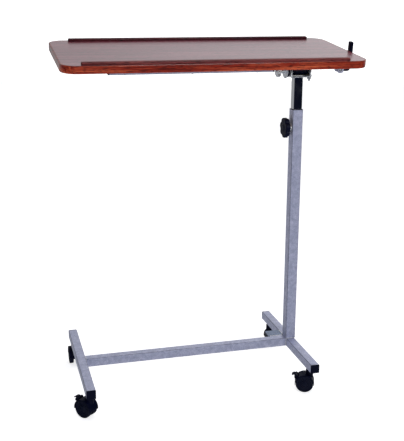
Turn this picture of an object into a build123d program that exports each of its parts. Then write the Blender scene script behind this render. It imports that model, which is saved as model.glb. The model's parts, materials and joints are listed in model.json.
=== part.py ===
"""Overbed table: H-shaped base on four twin-wheel casters, telescoping mast and a tilting top.

Millimetres, +Z up. The origin is on the floor at the middle of the whole table's outline. The top lies over
the long side of the base, to -X of the column, and is stored tipped a few degrees, back edge (+Y) raised.
"""

import os
from math import cos, radians, sin

from build123d import *

os.makedirs("parts", exist_ok=True)

# ---- Driving dimensions ----------------------------------------------------------------------------------

# Table top, given in its own tilted frame: x as in the row, y across its depth, height along its normal.
TOP_LENGTH = 800.0
TOP_DEPTH = 350.0
TOP_THICKNESS = 20.0
TOP_CORNER = 40.0
TOP_TILT = 6.8
TOP_OVERHANG = 138.0  # how far the top reaches past the column's axis, towards +X
TOP_REAR_REACH = 188.0  # from the tilt axis to the back edge
PIVOT_HEIGHT = 884.0
PIVOT_TO_UNDERSIDE = 34.5
BAND, BAND_TOP_ROUND, BAND_LOW_ROUND = 4.0, 2.0, 1.5
LAMINATE = 1.2

# Base frame
COLUMN_X = 254.0
FEET_SPACING = 621.0
FOOT_LENGTH = 420.0
FRAME_TUBE = 25.0
FRAME_TOP = 95.0
TUBE_WALL = 1.5
TUBE_CORNER = 2.5
BORE_CORNER = 1.0
CAP_FLANGE = 3.0
CAP_SPIGOT = 14.0
CAP_WALL = 2.5
CAP_BEVEL = 0.8
GUSSET_LENGTH, GUSSET_DEPTH, GUSSET_THICKNESS, GUSSET_ROUND = 45.0, 40.0, 4.0, 5.0

# Telescoping column
COLUMN_TUBE = 30.0
COLUMN_TOP = 775.0
MAST_TUBE = 25.0
MAST_LENGTH = 561.0
MAST_TOP = 865.0
KNOB_HEIGHT = 725.0

# Twin-wheel casters
WHEEL_R = 25.0
WHEEL_WIDTH = 12.0
WHEEL_INNER = 4.5  # from the caster's middle plane to a wheel's inner face
CASTER_TRAIL = 13.0
CASTER_INSET = 40.0  # from the foot's end to the caster's stem
AXLE_R = 3.0
HOOD_R = 27.3
HOOD_TOP = 65.5

# Tilt head
PIVOT_R = 5.0
PLATE = 3.0
EAR_FACE = 26.0
EAR_R = 30.0
SADDLE_HALF_DEPTH = 20.0
SADDLE_REACH = 40.0
TAB_HALF_DEPTH = 8.0
TAB_CORNER = 3.0

# Brake rod and release lever, in the top's frame
ROD_Y = -12.0
ROD_LIFT = 15.4
ROD_R = 4.0
LEVER_X = COLUMN_X + 117.0
LEVER_LIFT = 2.0

RUNNING = 0.05  # radial clearance of a shaft that turns or slides
LOOSE = 0.1  # clearance between pieces that are fixed together
APART = 0.4  # gap between pieces that pass each other

# ---- Derived places --------------------------------------------------------------------------------------

TILT = radians(TOP_TILT)
TOP_RIGHT = COLUMN_X + TOP_OVERHANG
TOP_MIDDLE_X = TOP_RIGHT - TOP_LENGTH / 2
TOP_MIDDLE_Y = TOP_REAR_REACH - TOP_DEPTH / 2
TOP_SURFACE = PIVOT_TO_UNDERSIDE + TOP_THICKNESS
LEFT_FOOT_X = COLUMN_X - FEET_SPACING
FRAME_BOTTOM = FRAME_TOP - FRAME_TUBE
STEM_Y = FOOT_LENGTH / 2 - CASTER_INSET


def top_plane(height):
    """Plane parallel to the table top, at a height above the tilt axis."""
    normal = (0, -sin(TILT), cos(TILT))
    return Plane(origin=(0, 0, PIVOT_HEIGHT), x_dir=(1, 0, 0), z_dir=normal).offset(height)


def top_section(x):
    """Plane across the table top at x: sketch X is the top's y, sketch Y its height above the tilt axis."""
    return Plane(origin=(x, 0, PIVOT_HEIGHT), x_dir=(0, cos(TILT), sin(TILT)), z_dir=(1, 0, 0))


def top_profile(y):
    """Plane along the top at its own y: sketch X is the row's x, sketch Y the height over the tilt axis."""
    origin = (0, y * cos(TILT), PIVOT_HEIGHT + y * sin(TILT))
    return Plane(origin=origin, x_dir=(1, 0, 0), z_dir=(0, -cos(TILT), -sin(TILT)))


def row_section(x):
    """Upright plane across the row at x: sketch X is the row's y, sketch Y its z."""
    return Plane(origin=(x, 0, 0), x_dir=(0, 1, 0), z_dir=(1, 0, 0))


def save(piece, name):
    """Label a finished piece and write it as one STEP file."""
    piece.part.label = name
    export_step(piece.part, f"parts/{name}.step")


def tube_section(plane, size):
    """Section of a square tube with rounded corners."""
    bore = size - 2 * TUBE_WALL
    with BuildSketch(plane) as section:
        RectangleRounded(size, size, TUBE_CORNER)
        RectangleRounded(bore, bore, BORE_CORNER, mode=Mode.SUBTRACT)
    return section.sketch


def square(plane, size, corner):
    """Rounded square on a plane."""
    with BuildSketch(plane) as section:
        RectangleRounded(size, size, corner)
    return section.sketch


def disc(plane, centre, radius):
    """Round face on a plane."""
    with BuildSketch(plane) as section:
        with Locations(centre):
            Circle(radius)
    return section.sketch


# ---- Base frame ------------------------------------------------------------------------------------------

FOOT_TUBE_LENGTH = FOOT_LENGTH - 2 * CAP_FLANGE
FOOT_MIDDLE_Z = FRAME_TOP - FRAME_TUBE / 2
NUT_R, NUT_HEIGHT, NUT_FLATS = 5.0, 8.0, 17.0
CASTER_PLACES = [(x, y) for x in (LEFT_FOOT_X, COLUMN_X) for y in (-STEM_Y, STEM_Y)]


def foot(x, name):
    """Floor tube along Y with a hole in its underside for each caster's stem."""
    with BuildPart() as tube:
        start = Plane(origin=(x, FOOT_TUBE_LENGTH / 2, FOOT_MIDDLE_Z), x_dir=(1, 0, 0), z_dir=(0, -1, 0))
        extrude(tube_section(start, FRAME_TUBE), amount=FOOT_TUBE_LENGTH)
        with BuildSketch(Plane.XY.offset(FRAME_BOTTOM)):
            with Locations((x, -STEM_Y), (x, STEM_Y)):
                Circle(NUT_R + LOOSE)
        extrude(amount=TUBE_WALL, mode=Mode.SUBTRACT)
    save(tube, name)


foot(LEFT_FOOT_X, "left_foot")
foot(COLUMN_X, "right_foot")

with BuildPart() as base_bar:
    bar_length = FEET_SPACING - FRAME_TUBE
    bar_start = Plane(
        origin=(LEFT_FOOT_X + FRAME_TUBE / 2, 0, FOOT_MIDDLE_Z), x_dir=(0, 1, 0), z_dir=(1, 0, 0)
    )
    extrude(tube_section(bar_start, FRAME_TUBE), amount=bar_length)
save(base_bar, "base_bar")

with BuildPart() as corner_gusset:
    corner = (COLUMN_X - FRAME_TUBE / 2, FRAME_TUBE / 2)
    with BuildSketch(Plane.XY.offset(FRAME_TOP)):
        with Locations(corner):
            Rectangle(GUSSET_LENGTH, GUSSET_DEPTH, align=(Align.MAX, Align.MIN))
    extrude(amount=-GUSSET_THICKNESS)
    free_corner = corner_gusset.edges().filter_by(Axis.Z).sort_by(Axis.X)[0:2].sort_by(Axis.Y)[-1]
    fillet(free_corner, GUSSET_ROUND)
save(corner_gusset, "corner_gusset")

with BuildPart() as foot_end_caps:
    spigot = FRAME_TUBE - 2 * TUBE_WALL - 2 * LOOSE
    for x in (LEFT_FOOT_X, COLUMN_X):
        for side in (-1, 1):
            origin = (x, side * FOOT_TUBE_LENGTH / 2, FOOT_MIDDLE_Z)
            tube_end = Plane(origin=origin, x_dir=(1, 0, 0), z_dir=(0, side, 0))
            extrude(square(tube_end, FRAME_TUBE, TUBE_CORNER), amount=CAP_FLANGE)
            extrude(square(tube_end, spigot, BORE_CORNER), amount=-CAP_SPIGOT)
            hollow = square(tube_end.offset(-CAP_SPIGOT), spigot - 2 * CAP_WALL, BORE_CORNER)
            extrude(hollow, amount=CAP_SPIGOT, mode=Mode.SUBTRACT)
    for end in (Axis.Y, -Axis.Y):
        outer_faces = foot_end_caps.faces().group_by(end)[-1]
        chamfer(outer_faces.edges(), CAP_BEVEL)
save(foot_end_caps, "foot_end_caps")

with BuildPart() as caster_weld_nuts:
    with BuildSketch(Plane.XY.offset(FRAME_BOTTOM + TUBE_WALL)):
        with Locations(*CASTER_PLACES):
            RegularPolygon(NUT_FLATS / 2, 6, major_radius=False)
            Circle(NUT_R + LOOSE, mode=Mode.SUBTRACT)
    extrude(amount=NUT_HEIGHT)
save(caster_weld_nuts, "caster_weld_nuts")

# Each stem screws into its nut, carries a washer-like collar under the foot and ends in a plain pivot.
STEM_PIVOT_R, STEM_BOTTOM, COLLAR_R = 4.0, 50.0, 9.0

with BuildPart() as caster_stems:
    for x, y in CASTER_PLACES:
        with BuildSketch(Plane(origin=(x, y, 0), x_dir=(1, 0, 0), z_dir=(0, -1, 0))):
            with BuildLine():
                Polyline(
                    (0, STEM_BOTTOM),
                    (STEM_PIVOT_R, STEM_BOTTOM),
                    (STEM_PIVOT_R, HOOD_TOP + APART),
                    (COLLAR_R, HOOD_TOP + APART),
                    (COLLAR_R, FRAME_BOTTOM),
                    (NUT_R, FRAME_BOTTOM),
                    (NUT_R, FRAME_BOTTOM + TUBE_WALL + NUT_HEIGHT),
                    (0, FRAME_BOTTOM + TUBE_WALL + NUT_HEIGHT),
                    close=True,
                )
            make_face()
        revolve(axis=Axis((x, y, 0), (0, 0, 1)))
save(caster_stems, "caster_stems")

# ---- Column, its guide and the height lock ---------------------------------------------------------------

COLUMN_FACE_X = COLUMN_X - COLUMN_TUBE / 2
BOSS_LENGTH, BOSS_R, BOSS_BEVEL, STUD_R = 6.0, 10.0, 1.2, 4.0
BUSH_DEPTH, BUSH_FLANGE, BUSH_BEVEL = 34.0, 2.0, 0.6
column_bore = COLUMN_TUBE - 2 * TUBE_WALL

with BuildPart() as column_tube:
    foot_of_column = Plane(origin=(COLUMN_X, 0, FRAME_TOP))
    extrude(tube_section(foot_of_column, COLUMN_TUBE), amount=COLUMN_TOP - FRAME_TOP)
    stud_hole = disc(row_section(COLUMN_FACE_X), (0, KNOB_HEIGHT), STUD_R + APART)
    extrude(stud_hole, amount=TUBE_WALL, mode=Mode.SUBTRACT)
save(column_tube, "column_tube")

with BuildPart() as column_bush:
    mouth = Plane(origin=(COLUMN_X, 0, COLUMN_TOP))
    extrude(square(mouth, COLUMN_TUBE, TUBE_CORNER), amount=BUSH_FLANGE)
    chamfer(column_bush.faces().sort_by(Axis.Z)[-1].edges(), BUSH_BEVEL)
    extrude(square(mouth, column_bore - 2 * LOOSE, BORE_CORNER), amount=-BUSH_DEPTH)
    bush_bottom = mouth.offset(-BUSH_DEPTH)
    passage = square(bush_bottom, MAST_TUBE + 2 * LOOSE, TUBE_CORNER)
    extrude(passage, amount=BUSH_DEPTH + BUSH_FLANGE, mode=Mode.SUBTRACT)
save(column_bush, "column_bush")

with BuildPart() as lock_boss:
    column_face = row_section(COLUMN_FACE_X)
    extrude(disc(column_face, (0, KNOB_HEIGHT), BOSS_R), amount=-BOSS_LENGTH)
    chamfer(lock_boss.faces().sort_by(Axis.X)[0].edges(), BOSS_BEVEL)
    extrude(disc(column_face, (0, KNOB_HEIGHT), STUD_R + RUNNING), amount=-BOSS_LENGTH, mode=Mode.SUBTRACT)
save(lock_boss, "lock_boss")

KNOB_HUB_R, KNOB_HUB_LENGTH, KNOB_THICKNESS, KNOB_SOCKET = 13.0, 3.5, 12.5, 8.0
KNOB_R, KNOB_LOBES, SCALLOP_R, SCALLOP_REACH = 28.0, 7, 8.5, 33.0
LOBE_ROUND, KNOB_FRONT_ROUND, KNOB_BACK_BEVEL = 3.5, 3.0, 1.0
KNOB_BACK = COLUMN_FACE_X - BOSS_LENGTH - APART
STUD_START = KNOB_BACK - KNOB_HUB_LENGTH - KNOB_SOCKET

with BuildPart() as height_knob:
    with BuildSketch(row_section(KNOB_BACK - KNOB_HUB_LENGTH)) as star:
        with Locations((0, KNOB_HEIGHT)):
            Circle(KNOB_R)
            with PolarLocations(SCALLOP_REACH, KNOB_LOBES, start_angle=90):
                Circle(SCALLOP_R, mode=Mode.SUBTRACT)
        fillet(star.vertices(), LOBE_ROUND)
    extrude(amount=-KNOB_THICKNESS)
    fillet(height_knob.faces().sort_by(Axis.X)[0].edges(), KNOB_FRONT_ROUND)
    chamfer(height_knob.faces().sort_by(Axis.X)[-1].edges(), KNOB_BACK_BEVEL)
    extrude(disc(row_section(KNOB_BACK), (0, KNOB_HEIGHT), KNOB_HUB_R), amount=-KNOB_HUB_LENGTH)
    socket = disc(row_section(KNOB_BACK), (0, KNOB_HEIGHT), STUD_R + LOOSE)
    extrude(socket, amount=STUD_START - KNOB_BACK, mode=Mode.SUBTRACT)
save(height_knob, "height_knob")

with BuildPart() as knob_stud:
    stud_end = COLUMN_X - MAST_TUBE / 2 - APART
    extrude(disc(row_section(STUD_START), (0, KNOB_HEIGHT), STUD_R), amount=stud_end - STUD_START)
save(knob_stud, "knob_stud")

# ---- Mast: the sliding tube and the tilt head on it ------------------------------------------------------

GLIDE_LENGTH, GLIDE_SPIGOT, GLIDE_CLEARANCE, GLIDE_ROUND, GLIDE_BEVEL = 18.0, 14.0, 0.2, 2.0, 1.0
SADDLE_PLATE_TOP = MAST_TOP + PLATE
EAR_OUTER = EAR_FACE + PLATE
ANCHOR_X = COLUMN_X + 34.5
ANCHOR_R, ANCHOR_HEAD_R, ANCHOR_HEAD, ANCHOR_NUT, ANCHOR_TAIL = 3.0, 5.2, 3.6, 6.5, 5.0
MAST_BOTTOM = MAST_TOP - MAST_LENGTH

with BuildPart() as inner_tube:
    extrude(tube_section(Plane(origin=(COLUMN_X, 0, MAST_BOTTOM)), MAST_TUBE), amount=MAST_LENGTH)
save(inner_tube, "inner_tube")

with BuildPart() as inner_glide:
    tube_mouth = Plane(origin=(COLUMN_X, 0, MAST_BOTTOM))
    glide_size = column_bore - 2 * GLIDE_CLEARANCE
    extrude(square(tube_mouth, glide_size, GLIDE_ROUND), amount=-GLIDE_LENGTH)
    chamfer(inner_glide.faces().sort_by(Axis.Z)[0].edges(), GLIDE_BEVEL)
    spigot = MAST_TUBE - 2 * TUBE_WALL - 2 * LOOSE
    extrude(square(tube_mouth, spigot, BORE_CORNER), amount=GLIDE_SPIGOT)
save(inner_glide, "inner_glide")


def ear_outline(low):
    """Outline of an ear across the row: round about the tilt axis, on a narrower neck down to a height."""
    neck_height = PIVOT_HEIGHT - low
    with BuildSketch(row_section(COLUMN_X - SADDLE_REACH)) as outline:
        with Locations((0, PIVOT_HEIGHT)):
            Circle(EAR_R)
        with Locations((0, low + neck_height / 2)):
            Rectangle(2 * SADDLE_HALF_DEPTH, neck_height)
        with Locations((0, low)):
            Rectangle(4 * EAR_R, 2 * EAR_R, align=(Align.CENTER, Align.MAX), mode=Mode.SUBTRACT)
    return outline.sketch


def tab_outline():
    """Plan of the saddle: as deep as its ears between them, and a narrow tab beyond the right ear."""
    with BuildSketch(Plane.XY.offset(MAST_TOP - PLATE)) as plan:
        with Locations((COLUMN_X + EAR_OUTER, 0)):
            Rectangle(4 * EAR_R, 2 * EAR_R, align=(Align.MAX, Align.CENTER))
        with Locations((COLUMN_X, 0)):
            RectangleRounded(2 * SADDLE_REACH, 2 * TAB_HALF_DEPTH, TAB_CORNER)
    return plan.sketch


def pivot_hole():
    """Clearance hole for the pivot bolt, right through the head."""
    return disc(row_section(COLUMN_X - 2 * EAR_R), (0, PIVOT_HEIGHT), PIVOT_R + LOOSE)


def anchor_hole():
    """Clearance hole for the bolt that clamps the right ear's foot to the saddle."""
    return disc(Plane.XY.offset(MAST_TOP - PLATE), (ANCHOR_X, 0), ANCHOR_R + LOOSE)


# Both bent pieces are one bent strip profile along X, cut to the ear's outline across it.
BEND_R = 5.0

with BuildPart() as saddle_bracket:
    with BuildSketch(Plane(origin=(0, EAR_R, 0), x_dir=(1, 0, 0), z_dir=(0, -1, 0))) as strip:
        with BuildLine():
            left, right, top = COLUMN_X - EAR_OUTER, COLUMN_X + SADDLE_REACH, PIVOT_HEIGHT + EAR_R
            Polyline(
                (left, top),
                (left, MAST_TOP),
                (right, MAST_TOP),
                (right, SADDLE_PLATE_TOP),
                (left + PLATE, SADDLE_PLATE_TOP),
                (left + PLATE, top),
                close=True,
            )
        make_face()
        fillet(strip.vertices().group_by(Axis.Y)[0].sort_by(Axis.X)[0], BEND_R)
        inner_x = left + PLATE
        inner_corner = strip.vertices().filter_by_position(Axis.X, inner_x - LOOSE, inner_x + LOOSE)
        fillet(inner_corner.sort_by(Axis.Y)[0], BEND_R - PLATE)
    extrude(amount=2 * EAR_R)
    extrude(ear_outline(MAST_TOP), amount=2 * SADDLE_REACH, mode=Mode.INTERSECT)
    extrude(tab_outline(), amount=4 * EAR_R, mode=Mode.INTERSECT)
    extrude(pivot_hole(), amount=4 * EAR_R, mode=Mode.SUBTRACT)
    extrude(anchor_hole(), amount=3 * PLATE, mode=Mode.SUBTRACT)
save(saddle_bracket, "saddle_bracket")

with BuildPart() as right_ear:
    with BuildSketch(Plane(origin=(0, EAR_R, 0), x_dir=(1, 0, 0), z_dir=(0, -1, 0))) as strip:
        with BuildLine():
            left, right, top = COLUMN_X + EAR_FACE, COLUMN_X + SADDLE_REACH, PIVOT_HEIGHT + EAR_R
            Polyline(
                (left, top),
                (left, SADDLE_PLATE_TOP),
                (right, SADDLE_PLATE_TOP),
                (right, SADDLE_PLATE_TOP + PLATE),
                (left + PLATE, SADDLE_PLATE_TOP + PLATE),
                (left + PLATE, top),
                close=True,
            )
        make_face()
        fillet(strip.vertices().group_by(Axis.Y)[0].sort_by(Axis.X)[0], BEND_R - PLATE)
    extrude(amount=2 * EAR_R)
    extrude(ear_outline(SADDLE_PLATE_TOP), amount=2 * SADDLE_REACH, mode=Mode.INTERSECT)
    extrude(tab_outline(), amount=4 * EAR_R, mode=Mode.INTERSECT)
    extrude(pivot_hole(), amount=4 * EAR_R, mode=Mode.SUBTRACT)
    extrude(anchor_hole(), amount=4 * PLATE, mode=Mode.SUBTRACT)
save(right_ear, "right_ear")

# The pivot bolt's head bears on the right ear. Outside the left ear come a friction disc, a spring washer, a
# wide washer, a sleeve and the round tension nut.
HEAD_FLATS, HEAD_HEIGHT, HEAD_BEVEL, BOLT_END_BEVEL = 16.0, 6.4, 0.8, 1.0
BOLT_HEAD_X = COLUMN_X + EAR_OUTER + LOOSE
BOLT_END_X = COLUMN_X - 64.0
FRICTION_R, FRICTION_DISC, FRICTION_BEVEL = 19.0, 3.0, 0.5
SPRING_R, WASHER_R, SLEEVE_R, WASHER_ROUND = 12.0, 22.5, 9.0, 0.6
WASHER_STACK = [(SPRING_R, 3.0), (WASHER_R, 2.0), (SLEEVE_R, 13.0)]
NUT_LENGTH, TENSION_NUT_R, NUT_COLLAR_R, NUT_COLLAR = 9.5, 18.5, 14.0, 1.5
NUT_GROOVES, GROOVE_R, GROOVE_REACH, NUT_BEVEL, NUT_STANDOFF = 12, 3.0, 20.0, 1.0, 1.5
stack_length = sum(thickness for _, thickness in WASHER_STACK)
FRICTION_X = COLUMN_X - EAR_OUTER
WASHERS_X = FRICTION_X - FRICTION_DISC
NUT_X = WASHERS_X - stack_length - NUT_STANDOFF

with BuildPart() as pivot_bolt:
    with BuildSketch(row_section(BOLT_HEAD_X)):
        with Locations((0, PIVOT_HEIGHT)):
            RegularPolygon(HEAD_FLATS / 2, 6, major_radius=False, rotation=30)
    extrude(amount=HEAD_HEIGHT)
    chamfer(pivot_bolt.faces().sort_by(Axis.X)[-1].edges(), HEAD_BEVEL)
    extrude(disc(row_section(BOLT_END_X), (0, PIVOT_HEIGHT), PIVOT_R), amount=BOLT_HEAD_X - BOLT_END_X)
    chamfer(pivot_bolt.faces().sort_by(Axis.X)[0].edges(), BOLT_END_BEVEL)
save(pivot_bolt, "pivot_bolt")

with BuildPart() as friction_disc:
    extrude(disc(row_section(FRICTION_X), (0, PIVOT_HEIGHT), FRICTION_R), amount=-FRICTION_DISC)
    chamfer(friction_disc.faces().sort_by(Axis.X)[0].edges(), FRICTION_BEVEL)
    bore = disc(row_section(FRICTION_X), (0, PIVOT_HEIGHT), PIVOT_R + LOOSE)
    extrude(bore, amount=-FRICTION_DISC, mode=Mode.SUBTRACT)
save(friction_disc, "friction_disc")

with BuildPart() as pivot_washers:
    outer_x = WASHERS_X
    for radius, thickness in WASHER_STACK:
        extrude(disc(row_section(outer_x), (0, PIVOT_HEIGHT), radius), amount=-thickness)
        outer_x -= thickness
    fillet(pivot_washers.edges().filter_by(GeomType.CIRCLE).group_by(SortBy.RADIUS)[-1], WASHER_ROUND)
    bore = disc(row_section(WASHERS_X), (0, PIVOT_HEIGHT), PIVOT_R + LOOSE)
    extrude(bore, amount=-stack_length, mode=Mode.SUBTRACT)
save(pivot_washers, "pivot_washers")

with BuildPart() as tension_nut:
    grip_start, grip_length = row_section(NUT_X - NUT_COLLAR), NUT_LENGTH - NUT_COLLAR
    extrude(disc(row_section(NUT_X), (0, PIVOT_HEIGHT), NUT_COLLAR_R), amount=-NUT_COLLAR)
    extrude(disc(grip_start, (0, PIVOT_HEIGHT), TENSION_NUT_R), amount=-grip_length)
    with BuildSketch(grip_start):
        with Locations((0, PIVOT_HEIGHT)):
            with PolarLocations(GROOVE_REACH, NUT_GROOVES):
                Circle(GROOVE_R)
    extrude(amount=-grip_length, mode=Mode.SUBTRACT)
    chamfer(tension_nut.faces().sort_by(Axis.X)[0].edges(), NUT_BEVEL)
    bore = disc(row_section(NUT_X), (0, PIVOT_HEIGHT), PIVOT_R + LOOSE)
    extrude(bore, amount=-NUT_LENGTH, mode=Mode.SUBTRACT)
save(tension_nut, "tension_nut")

ANCHOR_TOP = SADDLE_PLATE_TOP + PLATE
ANCHOR_HEAD_ROUND, ANCHOR_END_BEVEL, ANCHOR_NUT_BEVEL = 1.6, 0.6, 0.7
KEY_SOCKET_R = 2.0

with BuildPart() as anchor_bolt:
    extrude(disc(Plane.XY.offset(ANCHOR_TOP), (ANCHOR_X, 0), ANCHOR_HEAD_R), amount=ANCHOR_HEAD)
    fillet(anchor_bolt.faces().sort_by(Axis.Z)[-1].edges(), ANCHOR_HEAD_ROUND)
    with BuildSketch(Plane.XY.offset(ANCHOR_TOP + ANCHOR_HEAD)):
        with Locations((ANCHOR_X, 0)):
            RegularPolygon(KEY_SOCKET_R, 6, major_radius=False)
    extrude(amount=-KEY_SOCKET_R, mode=Mode.SUBTRACT)
    shank_length = 2 * PLATE + ANCHOR_NUT + ANCHOR_TAIL
    extrude(disc(Plane.XY.offset(ANCHOR_TOP), (ANCHOR_X, 0), ANCHOR_R), amount=-shank_length)
    chamfer(anchor_bolt.faces().sort_by(Axis.Z)[0].edges(), ANCHOR_END_BEVEL)
save(anchor_bolt, "anchor_bolt")

with BuildPart() as anchor_nut:
    with BuildSketch(Plane.XY.offset(MAST_TOP)):
        with Locations((ANCHOR_X, 0)):
            RegularPolygon(ANCHOR_HEAD_R, 6, major_radius=False)
    extrude(amount=-ANCHOR_NUT)
    chamfer(anchor_nut.faces().sort_by(Axis.Z)[0].edges(), ANCHOR_NUT_BEVEL)
    shank_hole = disc(Plane.XY.offset(MAST_TOP), (ANCHOR_X, 0), ANCHOR_R + LOOSE)
    extrude(shank_hole, amount=-ANCHOR_NUT, mode=Mode.SUBTRACT)
save(anchor_nut, "anchor_nut")

# ---- Table top -------------------------------------------------------------------------------------------

SCREW_R, SCREW_HEAD_R, SCREW_HEAD, SCREW_ROUND, SCREW_BITE, SCREW_HOLE_DEPTH = 2.0, 4.0, 2.4, 1.2, 13.0, 14.0
HUB_PLATE_LENGTH, HUB_PLATE_DEPTH, HUB_PLATE_CORNER = 130.0, 90.0, 8.0
HUB_HALF_WIDTH = EAR_FACE - APART
HUB_BOTTOM_R, HUB_TOP_HALF, HUB_SHOULDER = 15.0, 20.0, 8.0
HUB_PLATE_LIFT = PIVOT_TO_UNDERSIDE - PLATE

STIFFENER, STIFFENER_CORNER = 20.0, 2.0
STIFFENER_LEFT, STIFFENER_RIGHT, STIFFENER_Y = COLUMN_X - 538.0, COLUMN_X - 100.0, 78.0
STIFFENER_CAP, STIFFENER_SPIGOT = 3.0, 10.0
STIFFENER_LIFT = PIVOT_TO_UNDERSIDE - STIFFENER

RAIL_LENGTH, RAIL_DEPTH, RAIL_RISE, RAIL_CORNER, RAIL_ROUND = 695.0, 14.0, 7.5, 3.0, 3.2
FRONT_INSET, REAR_INSET = 6.0, 10.0
RAIL_PLACES = {
    "front_book_stop": (TOP_MIDDLE_X - 3, TOP_REAR_REACH - TOP_DEPTH + FRONT_INSET + RAIL_DEPTH / 2),
    "rear_book_stop": (TOP_MIDDLE_X + 2, TOP_REAR_REACH - REAR_INSET - RAIL_DEPTH / 2),
}

BRACKET_LEFT, BRACKET_RIGHT, BRACKET_DEPTH, BRACKET_LOW = COLUMN_X + 109.0, COLUMN_X + 127.0, 22.0, -6.5
BRACKET_WALL, BRACKET_FLANGE, BRACKET_ROUND = 2.0, 50.0, 6.0
GUIDE_X, GUIDE_LENGTH, GUIDE_DEPTH, GUIDE_CORNER = COLUMN_X + 82.0, 16.0, 40.0, 3.0
GUIDE_EYE_R, GUIDE_WEB = 7.5, 13.0

HUB_SCREW_X, HUB_SCREW_Y, BRACKET_SCREW_Y, GUIDE_SCREW_Y = 54.0, 36.0, 18.0, 15.0
HUB_SCREWS = [(COLUMN_X + side * HUB_SCREW_X, end * HUB_SCREW_Y) for side in (-1, 1) for end in (-1, 1)]
STIFFENER_SCREWS = [
    (STIFFENER_LEFT + (STIFFENER_RIGHT - STIFFENER_LEFT) * share, y)
    for share in (0.1, 0.5, 0.9)
    for y in (-STIFFENER_Y, STIFFENER_Y)
]
BRACKET_MIDDLE = (BRACKET_LEFT + BRACKET_RIGHT) / 2
BRACKET_SCREWS = [(BRACKET_MIDDLE, ROD_Y + dy) for dy in (-BRACKET_SCREW_Y, BRACKET_SCREW_Y)]
GUIDE_SCREWS = [(GUIDE_X, ROD_Y + dy) for dy in (-GUIDE_SCREW_Y, GUIDE_SCREW_Y)]


def top_outline(height, inset):
    """The top's rounded outline, drawn inwards by an inset."""
    with BuildSketch(top_plane(height)) as outline:
        with Locations((TOP_MIDDLE_X, TOP_MIDDLE_Y)):
            RectangleRounded(TOP_LENGTH - 2 * inset, TOP_DEPTH - 2 * inset, TOP_CORNER - inset)
    return outline.sketch


def top_holes(height, places, radius):
    """Round holes at places in the top's own frame."""
    with BuildSketch(top_plane(height)) as holes:
        with Locations(*places):
            Circle(radius)
    return holes.sketch


def rail_footprint(height, place, gap):
    """A book-stop rail's outline on the top, with a gap round it."""
    with BuildSketch(top_plane(height)) as footprint:
        with Locations(place):
            RectangleRounded(RAIL_LENGTH + 2 * gap, RAIL_DEPTH + 2 * gap, RAIL_CORNER + gap)
    return footprint.sketch


with BuildPart() as top_core:
    extrude(top_outline(PIVOT_TO_UNDERSIDE, BAND), amount=TOP_THICKNESS - LAMINATE)
    every_screw = HUB_SCREWS + STIFFENER_SCREWS + BRACKET_SCREWS + GUIDE_SCREWS
    pilot_holes = top_holes(PIVOT_TO_UNDERSIDE, every_screw, SCREW_R + LOOSE)
    extrude(pilot_holes, amount=SCREW_HOLE_DEPTH, mode=Mode.SUBTRACT)
save(top_core, "top_core")

with BuildPart() as top_laminate:
    core_top = TOP_SURFACE - LAMINATE
    extrude(top_outline(core_top, BAND), amount=LAMINATE)
    for rail_place in RAIL_PLACES.values():
        extrude(rail_footprint(core_top, rail_place, LOOSE), amount=LAMINATE, mode=Mode.SUBTRACT)
save(top_laminate, "top_laminate")

with BuildPart() as edge_band:
    extrude(top_outline(PIVOT_TO_UNDERSIDE, 0), amount=TOP_THICKNESS)
    normal_axis = Axis((0, 0, 0), (0, -sin(TILT), cos(TILT)))
    fillet(edge_band.faces().sort_by(normal_axis)[-1].edges(), BAND_TOP_ROUND)
    fillet(edge_band.faces().sort_by(normal_axis)[0].edges(), BAND_LOW_ROUND)
    extrude(top_outline(PIVOT_TO_UNDERSIDE, BAND), amount=TOP_THICKNESS, mode=Mode.SUBTRACT)
save(edge_band, "edge_band")

for rail_name, rail_place in RAIL_PLACES.items():
    with BuildPart() as rail:
        extrude(rail_footprint(core_top, rail_place, 0), amount=RAIL_RISE + LAMINATE)
        fillet(rail.faces().sort_by(normal_axis)[-1].edges(), RAIL_ROUND)
    save(rail, rail_name)

with BuildPart() as hub_plate:
    with BuildSketch(top_plane(HUB_PLATE_LIFT)):
        with Locations((COLUMN_X, 0)):
            RectangleRounded(HUB_PLATE_LENGTH, HUB_PLATE_DEPTH, HUB_PLATE_CORNER)
    extrude(amount=PLATE)
    extrude(top_holes(HUB_PLATE_LIFT, HUB_SCREWS, SCREW_R + LOOSE), amount=PLATE, mode=Mode.SUBTRACT)
save(hub_plate, "hub_plate")

with BuildPart() as tilt_hub:
    with BuildSketch(top_section(COLUMN_X - HUB_HALF_WIDTH)):
        Circle(HUB_BOTTOM_R)
        with BuildLine():
            Polyline(
                (-HUB_BOTTOM_R, 0),
                (HUB_BOTTOM_R, 0),
                (HUB_TOP_HALF, HUB_PLATE_LIFT - HUB_SHOULDER),
                (HUB_TOP_HALF, HUB_PLATE_LIFT),
                (-HUB_TOP_HALF, HUB_PLATE_LIFT),
                (-HUB_TOP_HALF, HUB_PLATE_LIFT - HUB_SHOULDER),
                close=True,
            )
        make_face()
        Circle(PIVOT_R + RUNNING, mode=Mode.SUBTRACT)
    extrude(amount=2 * HUB_HALF_WIDTH)
save(tilt_hub, "tilt_hub")


def screws(places, seat, name):
    """Round-headed wood screws under the top: heads below a seat height, shanks up into the core."""
    with BuildPart() as set_of_screws:
        extrude(top_holes(seat, places, SCREW_HEAD_R), amount=-SCREW_HEAD)
        under_heads = set_of_screws.faces().group_by(normal_axis)[0]
        fillet(under_heads.edges(), SCREW_ROUND)
        shank_length = PIVOT_TO_UNDERSIDE - seat + SCREW_BITE
        extrude(top_holes(seat, places, SCREW_R), amount=shank_length)
    save(set_of_screws, name)


screws(HUB_SCREWS, HUB_PLATE_LIFT, "hub_screws")
screws(STIFFENER_SCREWS, STIFFENER_LIFT, "stiffener_screws")
screws(BRACKET_SCREWS + GUIDE_SCREWS, PIVOT_TO_UNDERSIDE - BRACKET_WALL, "bracket_screws")

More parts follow.
